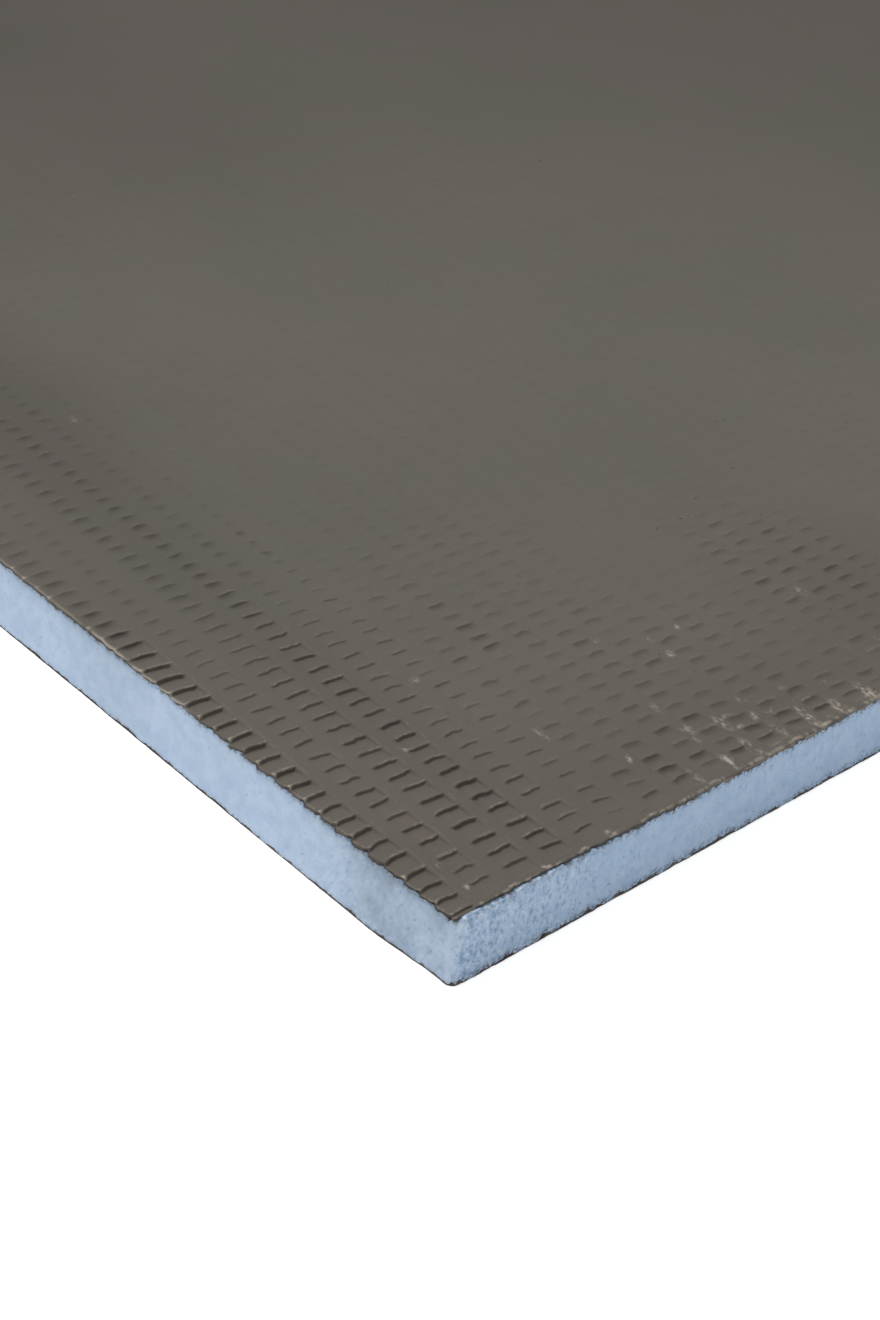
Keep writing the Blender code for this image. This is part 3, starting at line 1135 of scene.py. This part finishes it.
def foam_core():
    """Rings from the rim of the coat down to the back coat, with two more that tuck in under the coat."""
    path = across, along, out_a, out_b = outline(CORE_RADIUS)
    run, saw = across - along, sawn(out_b)
    close, drawn = seen_closely(across, along), 1.3 * rubbed_back(across) * saw
    top, foot = core_top(run), core_foot(across, along)
    on_arc = (np.abs(out_a) > 0.1) & (np.abs(out_b) > 0.1)
    rings, values = [], {key: [] for key in ("saw", "torn", "arris_highlight", "stained", "soil_and_shade")}
    for part in np.linspace(0, 1, int(THICKNESS / CORE_STEP)):
        height = top + (foot - top) * part
        relief = foam_relief(run, height, saw) * close * (1 - 0.8 * on_arc)
        relief = np.maximum(relief * (0.4 + 0.6 * ease(part, 0, 0.08)), -0.04)
        rings.append(moved_in(path, CORE_INSET + relief, height))
        gap = np.minimum(top - height, (1.5 - 0.8 * saw) * (height - foot))
        clean = drawn * fade(part, 0.2, 0.5)
        # Painted highlight along the round upright corners
        arris_highlight = 0.35 * on_arc * (0.6 + 0.4 * wander(height, run, 1.2, 99)) * close
        stained = 0.8 * fade(gap, 0.02, 0.6 + 0.3 * saw) * (0.7 + 0.3 * saw) * (1 - clean)
        # Soil by the corner, and painted shade with some soil just under the coat
        torn, soil_and_shade = torn_cells(across, along, height, saw), soil_and_rim_shade(along, height, top - height, saw)
        for layer, value in zip(values.values(), (saw, torn, arris_highlight, stained, soil_and_shade)):
            layer.append(value)
    bed, ledge = COAT_BASE - 0.1, CORE_INSET + CORE_LEDGE + drawn
    rings[:0] = [moved_in(path, 1.0, bed, 0.0), moved_in(path, ledge, np.minimum(top, LEDGE_TOP), 0.0)]
    for value in values.values():
        value[:0] = [value[0], value[0]]
    ring_piece("foam_core_sawn", rings, bed, INNER_FACE, foam, "foam", "foam_core", **values)


foam_core()

# %% [markdown]
# ## The back coat
#
# Only its rim shows, as a thin line along the floor made dark by painted shade, thicker and blobby on the
# sawn end. Its face can't be seen in the photo, and is given the same pocket grid as the top, as bump,
# which needs no faces.


# %% Back coat
# The rim's rings: mm in, share of the rim's height, and painted shade
BACK_RIM = [(0.06, 1.0, 0.95), (0.0, 0.8, 0.95), (0.0, 0.45, 0.95), (0.0, 0.12, 0.9), (0.05, 0.0, 0.3)]
BACK_RINGS = [9.0, 20.0, 32.0]
# How much painted shade the rim gets along the long edge: places in mm, and the shade at each
SIDE_RIM_SHADE = [2, 7, 12, 24, 34], [0.15, 0.7, 0.5, 0.4, 0.8]


def back_coat():
    """Rings carry the rim from the foam down to the floor, then inwards over the face that lies on it."""
    path = across, along, _, out_b = outline(CORE_RADIUS)
    run, foot, on_end = across - along, core_foot(across, along), np.abs(out_b) > 0.5
    ragged_in = np.where(on_end, 0.1 * rough(run, 0, 1.6, 101) - 0.02, 0.03 * wander(run, 0, 1.0, 104))
    ragged_in = np.maximum(ragged_in, 0.02 - CORE_INSET) * (seen_closely(across, along) > 0)
    rings, shades, lefts = [], [], []
    # Painted shade on the rim, patchy along the long edge and the sawn end
    on_side = np.interp(along, *SIDE_RIM_SHADE) + 0.3 * rough(run, 0, 0.9, 105)
    on_short = 0.3 + 0.3 * ease(across, 1, 6) - 0.25 * ease(across, 14, 22) + 0.6 * rough(run, 0, 0.7, 106)
    broken = np.where(on_end, on_short, on_side)
    for inward, part, dark in BACK_RIM:
        rings.append(moved_in(path, CORE_INSET + ragged_in + inward, foot * part))
        shades.append(dark * np.clip(broken, 0, 1))
        lefts.append(np.zeros(run.size))
    for inset in BACK_RINGS:
        rings.append(moved_in(path, inset, 0.0, 0.0))
        shades.append(np.zeros(run.size))
        lefts.append(np.full(run.size, POCKET_DEPTH * (0.7 if inset == BACK_RINGS[0] else FAINT)))
    ring_piece("back_coat", rings, INNER_FACE, 0.0, cement, "cement_coat", "bottom_coating",
               shade=shades, left=lefts)


back_coat()

# %% [markdown]
# ## Floor
#
# The board lies on plain white paper. The floor adds a little glow of its own to what the eye sees, so
# it comes out white and still takes the board's shadow.

# %% Floor
FLOOR_SIZE = 30.0
FLOOR_WHITE = "#f2f2f2"
FLOOR_GLOW = 0.62
FLOOR_DROP = 0.05 * MM
WHITE = (1.0, 1.0, 1.0, 1.0)


def seen_rays(tree):
    """1 on rays that the eye follows, straight, in gloss or through glass, and 0 on all others."""
    seen, glossy, through = [add(tree, "LightPath", out=f"Is {kind} Ray")
                             for kind in ("Camera", "Glossy", "Transmission")]
    for ray in (glossy, through):
        seen = add(tree, "Math", seen, ray, operation="MAXIMUM")
    return seen


def floor_material():
    """Matt white paper, with a glow only for the rays that the eye follows."""
    material, tree = blank("white_paper_sweep")
    glow = overlap(tree, seen_rays(tree), FLOOR_GLOW)
    surface(tree, linear(FLOOR_WHITE), Emission_Strength=glow, Emission_Color=WHITE, Roughness=0.9,
            Specular_IOR_Level=0.0)
    return material


def make_floor():
    """A flat square far wider than the view, a hair under the board."""
    half, level = FLOOR_SIZE / 2, cad_low.z - FLOOR_DROP
    corners = [(-half, -half, level), (half, -half, level), (half, half, level), (-half, half, level)]
    mesh = bpy.data.meshes.new("floor")
    mesh.from_pydata(corners, [], [(0, 1, 2, 3)])
    mesh.materials.append(floor_material())
    floor = bpy.data.objects.new("floor", mesh)
    bpy.context.scene.collection.objects.link(floor)
    print(f"floor {FLOOR_SIZE:.0f} m square")


make_floor()

# %% [markdown]
# ## Light
#
# A sun lamp with a broad disc stands in for a large soft box to the left, and lights the whole board
# alike. The world fills in from all round, so that a colour renders about as written, and looks white.

# %% Light
KEY_FROM = (-0.62, -0.3, 0.72)
KEY_POWER = 1.75
KEY_SPREAD = 40.0
ROOM_LIGHT = 0.58


def make_key():
    """A lamp that shines from KEY_FROM towards the board, its disc KEY_SPREAD degrees wide."""
    data = bpy.data.lights.new("key", "SUN")
    data.energy = KEY_POWER
    data.angle = math.radians(KEY_SPREAD)
    key = bpy.data.objects.new("key", data)
    key.rotation_mode = "QUATERNION"
    key.rotation_quaternion = Vector(KEY_FROM).to_track_quat("Z", "Y")
    bpy.context.scene.collection.objects.link(key)


def make_room():
    """A white world: strength 1 on rays that the eye follows, and ROOM_LIGHT on those that light things."""
    world = bpy.data.worlds.new("studio")
    world.use_nodes = True
    tree = world.node_tree
    brightness = add(tree, "Mix", seen_rays(tree), ROOM_LIGHT, 1.0)
    for name, value in (("Color", WHITE), ("Strength", brightness)):
        feed(tree, tree.nodes["Background"].inputs[name], value)
    bpy.context.scene.world = world


make_key()
make_room()
print(f"key {KEY_POWER}, room {ROOM_LIGHT}")

# %% [markdown]
# ## Finish
#
# The view transform is plain, so a colour comes out as written.

# %% Finish
bpy.context.scene.view_settings.view_transform = "Standard"
